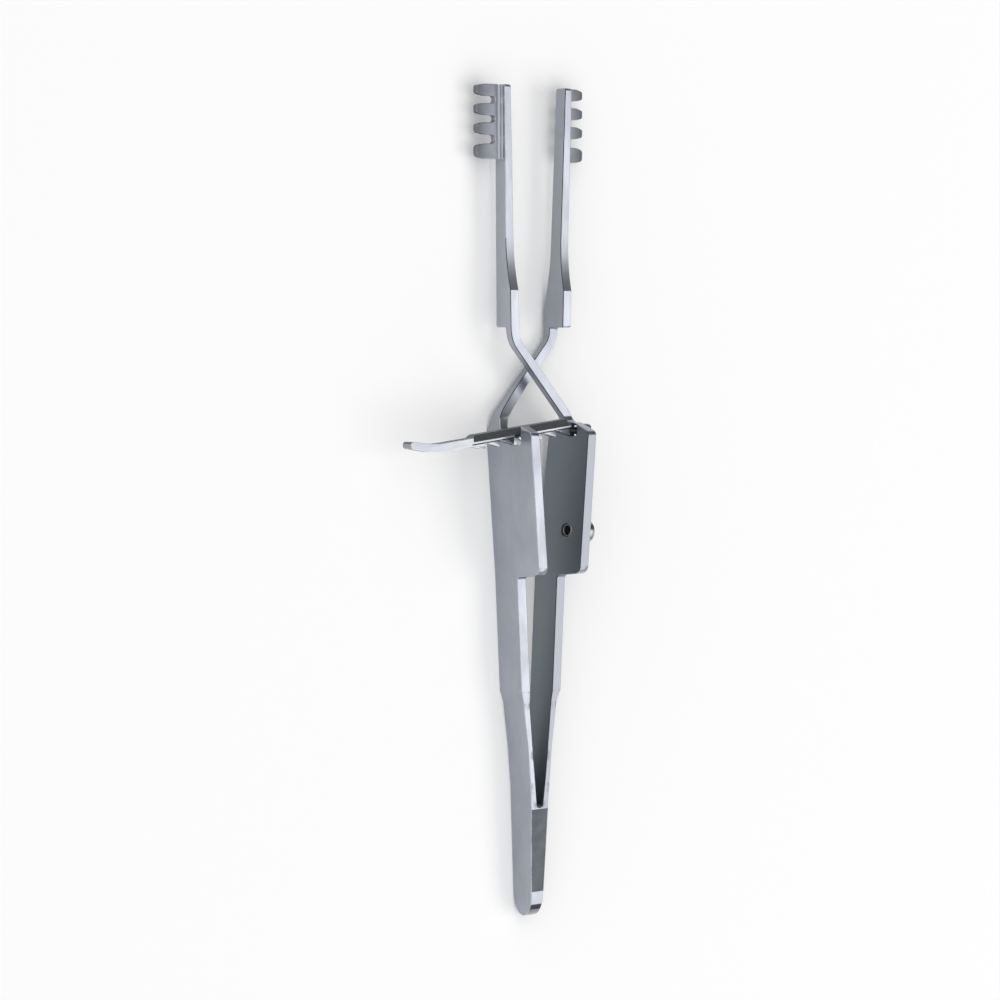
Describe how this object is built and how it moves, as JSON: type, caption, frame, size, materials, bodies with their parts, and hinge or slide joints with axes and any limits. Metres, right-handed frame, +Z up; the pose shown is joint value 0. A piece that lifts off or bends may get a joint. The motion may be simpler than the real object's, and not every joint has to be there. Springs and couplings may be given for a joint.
{
  "type": "self retaining retractor",
  "caption": "Cross-action skin retractor: two welded spring blades crossing to outward rakes of blunt prongs, held open by a pivoting ratchet bar with thumb lever.",
  "frame": {"origin": "on the heel's flat back, on the plane between the two halves, 8 mm from the heel's end; the instrument lies on its back edges", "axes": "+Y from the heel to the rakes, +X the side of the plate that carries the ratchet bar, +Z up from the resting plane"},
  "size_m": [0.0335, 0.1094, 0.0087],
  "materials": {
    "satin_steel": "satin, fine grain along the strip",
    "bar_steel": "satin with brighter filed teeth",
    "pin_steel": "ground",
    "leaf_steel": "satin spring steel",
    "screw_steel": "turned and polished"
  },
  "bodies": {
    "heel": {"left_spring_leg": "satin_steel", "right_spring_leg": "satin_steel"},
    "left_blade": {"left_blade": "satin_steel"},
    "right_blade": {"right_blade": "satin_steel", "leaf_spring": "leaf_steel", "leaf_screw": "screw_steel", "pivot_pin": "pin_steel"},
    "ratchet_bar": {"ratchet_bar": "bar_steel"}
  },
  "joints": [
    {"name": "spread_left", "type": "hinge", "parent": "heel", "child": "left_blade", "pos_m": [-0.00166, 0.0136, 0.00213], "axis": [0, 0, 1], "range_deg": [-5, 3.1], "stiffness_Nm_per_rad": 0.5, "deforming": ["left_spring_leg"]},
    {"name": "spread_right", "type": "hinge", "parent": "heel", "child": "right_blade", "pos_m": [0.00166, 0.0136, 0.00213], "axis": [0, 0, 1], "range_deg": [-3.1, 5], "deforming": ["right_spring_leg"]},
    {"name": "bar_release", "type": "hinge", "parent": "right_blade", "child": "ratchet_bar", "pos_m": [0.00512, 0.0562, 0.0052], "axis": [0, 0, 1], "range_deg": [-16, 3.4], "stiffness_Nm_per_rad": 0.01}
  ],
  "couplings": [
    {"joint": "spread_right", "follows": "spread_left", "ratio": -1}
  ]
}
